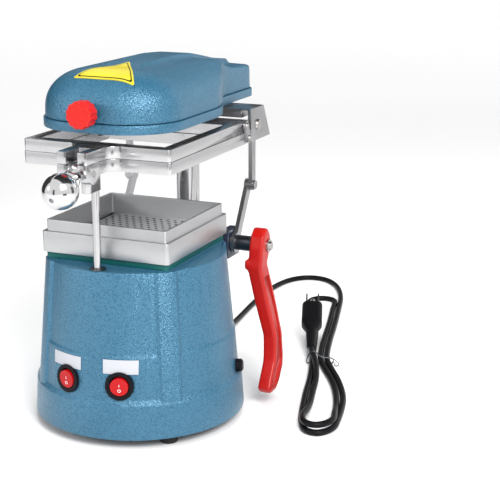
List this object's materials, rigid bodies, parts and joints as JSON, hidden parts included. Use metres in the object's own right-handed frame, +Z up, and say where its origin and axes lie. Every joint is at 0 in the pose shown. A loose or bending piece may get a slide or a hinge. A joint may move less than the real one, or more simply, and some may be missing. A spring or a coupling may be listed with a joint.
{
  "type": "dental vacuum former",
  "caption": "Bench machine that heats a plastic sheet and pulls it over a dental model: round vacuum base, sheet clamp on a toggle lift, swinging heater head.",
  "frame": {"origin": "on the table, on the vertical axis of the round base", "axes": "+Z up, the operator stands at -Y, the lever is on the +X side, the heater column is at +Y"},
  "size_m": [0.2855, 0.6157, 0.3315],
  "materials": {
    "black_oxide": "black oxide",
    "black_plastic": "fine grain",
    "black_rubber": "matte",
    "blue_enamel": "hammertone, glossy",
    "bright_steel": "drawn and ground",
    "bronze": "machined",
    "cord_pvc": "smooth",
    "dark_enamel": "smooth, glossy",
    "green_rubber": "matte",
    "heater_steel": "heat-tinted",
    "motor_steel": "satin",
    "perforated_sheet": "matte",
    "plug_brass": "bright",
    "polished_frame": "polished",
    "red_knob": "glossy",
    "red_lever": "glossy",
    "satin_tray": "satin"
  },
  "bodies": {
    "base": {"base_housing": "blue_enamel", "bottom_cover": "motor_steel", "rubber_foot_1": "black_rubber", "rubber_foot_2": "black_rubber", "rubber_foot_3": "black_rubber", "rubber_foot_4": "black_rubber", "suction_duct": "black_rubber", "fan_housing": "motor_steel", "vacuum_motor": "motor_steel", "motor_stand": "motor_steel", "deck_gasket": "green_rubber", "vacuum_tray": "satin_tray", "perforated_plate": "perforated_sheet", "heater_column": "bright_steel", "column_collar": "bright_steel", "guide_rod_rear": "bright_steel", "front_rod_bush": "bronze", "bearing_block_left": "dark_enamel", "bearing_block_right": "dark_enamel", "switch_bezel_left": "black_plastic", "switch_bezel_right": "black_plastic", "fuse_holder": "black_plastic", "cord_gland": "black_plastic", "power_cord": "cord_pvc", "plug_tail": "cord_pvc", "cord_hank": "cord_pvc", "cord_tie": "black_plastic", "plug_body": "cord_pvc", "plug_prongs": "plug_brass"},
    "carriage": {"lower_clamp_plate": "polished_frame", "rear_crosshead": "polished_frame", "front_guide_rod": "bright_steel", "clamp_pin": "bright_steel", "crosshead_pin_left": "bright_steel", "crosshead_pin_right": "bright_steel", "hinge_tab_left": "bright_steel", "hinge_tab_right": "bright_steel", "upper_tab_pin_left": "bright_steel", "upper_tab_pin_right": "bright_steel", "lower_tab_pin_left": "bright_steel", "lower_tab_pin_right": "bright_steel"},
    "upper_clamp": {"upper_clamp_plate": "polished_frame"},
    "clamp_bolt": {"swing_bolt": "bright_steel"},
    "ball": {"ball_nut": "polished_frame"},
    "lever": {"lever_shaft": "bright_steel", "crank_left": "bright_steel", "crank_right": "bright_steel", "lever_handle": "red_lever", "handle_screw": "bright_steel"},
    "links": {"upper_link_left": "bright_steel", "upper_link_right": "bright_steel"},
    "heater_head": {"head_base": "blue_enamel", "head_cover": "blue_enamel", "reflector_pan": "heater_steel", "heating_coil": "black_oxide", "head_hub": "bright_steel", "grip_knob": "red_knob", "lip_bumper": "black_rubber"},
    "left_rocker": {"rocker_left": "black_plastic"},
    "right_rocker": {"rocker_right": "black_plastic"}
  },
  "joints": [
    {"name": "carriage_slide", "type": "slide", "parent": "base", "child": "carriage", "axis": [0, 0, 1], "range_m": [-0.0618, 0]},
    {"name": "upper_clamp_hinge", "type": "hinge", "parent": "carriage", "child": "upper_clamp", "pos_m": [0, 0.084, 0.262], "axis": [1, 0, 0], "range_deg": [-2.5, 0]},
    {"name": "clamp_bolt_swing", "type": "hinge", "parent": "carriage", "child": "clamp_bolt", "pos_m": [0, -0.099, 0.247], "axis": [1, 0, 0], "range_deg": [-26, 55]},
    {"name": "ball_nut_spin", "type": "hinge", "parent": "clamp_bolt", "child": "ball", "pos_m": [0, -0.099, 0.247], "axis": [0, -0.9511, -0.309], "continuous": true},
    {"name": "lever_turn", "type": "hinge", "parent": "base", "child": "lever", "pos_m": [0, 0.082, 0.1495], "axis": [1, 0, 0], "range_deg": [-62.8, 0]},
    {"name": "link_turn", "type": "hinge", "parent": "lever", "child": "links", "pos_m": [0, 0.1125, 0.2], "axis": [1, 0, 0], "range_deg": [0, 91.8]},
    {"name": "head_swivel", "type": "hinge", "parent": "base", "child": "heater_head", "pos_m": [0, 0.104, 0.29], "axis": [0, 0, 1], "range_deg": [-90, 90]},
    {"name": "left_rocker_tip", "type": "hinge", "parent": "base", "child": "left_rocker", "pos_m": [-0.02502, -0.08503, 0.05734], "axis": [0.9593, -0.2823, 0], "range_deg": [-14, 0]},
    {"name": "right_rocker_tip", "type": "hinge", "parent": "base", "child": "right_rocker", "pos_m": [0.02502, -0.08503, 0.05734], "axis": [0.9593, 0.2823, 0], "range_deg": [-14, 0]}
  ],
  "couplings": [
    {"joint": "lever_turn", "follows": "carriage_slide", "rad_per_m": 17.719},
    {"joint": "link_turn", "follows": "carriage_slide", "rad_per_m": -25.891}
  ]
}
